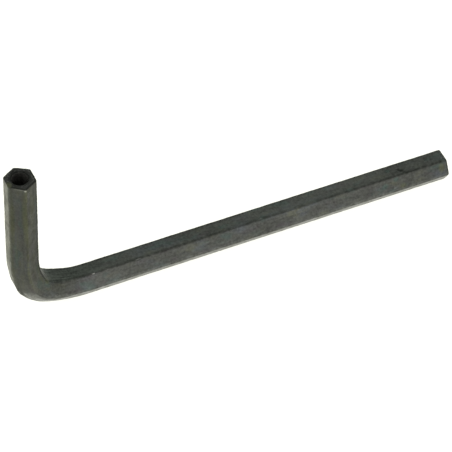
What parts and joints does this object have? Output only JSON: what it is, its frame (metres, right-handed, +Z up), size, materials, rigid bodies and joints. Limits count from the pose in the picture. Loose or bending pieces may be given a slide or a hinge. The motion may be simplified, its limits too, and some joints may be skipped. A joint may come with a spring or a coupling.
{
  "type": "hex key",
  "caption": "L-shaped hexagonal steel key with a long and a short arm and a round blind hole in the short arm's end, for turning hex socket screws that have a centre pin.",
  "frame": {"origin": "on the surface the key lies on, below the middle of its overall length", "axes": "+X along the long arm towards its end face, +Z up the short arm; the bend lies in the XZ plane"},
  "size_m": [0.085, 0.0056, 0.033],
  "materials": {
    "black_oxide_steel": "black oxide, dull satin"
  },
  "bodies": {
    "root": {"hex_key": "black_oxide_steel"}
  },
  "joints": []
}
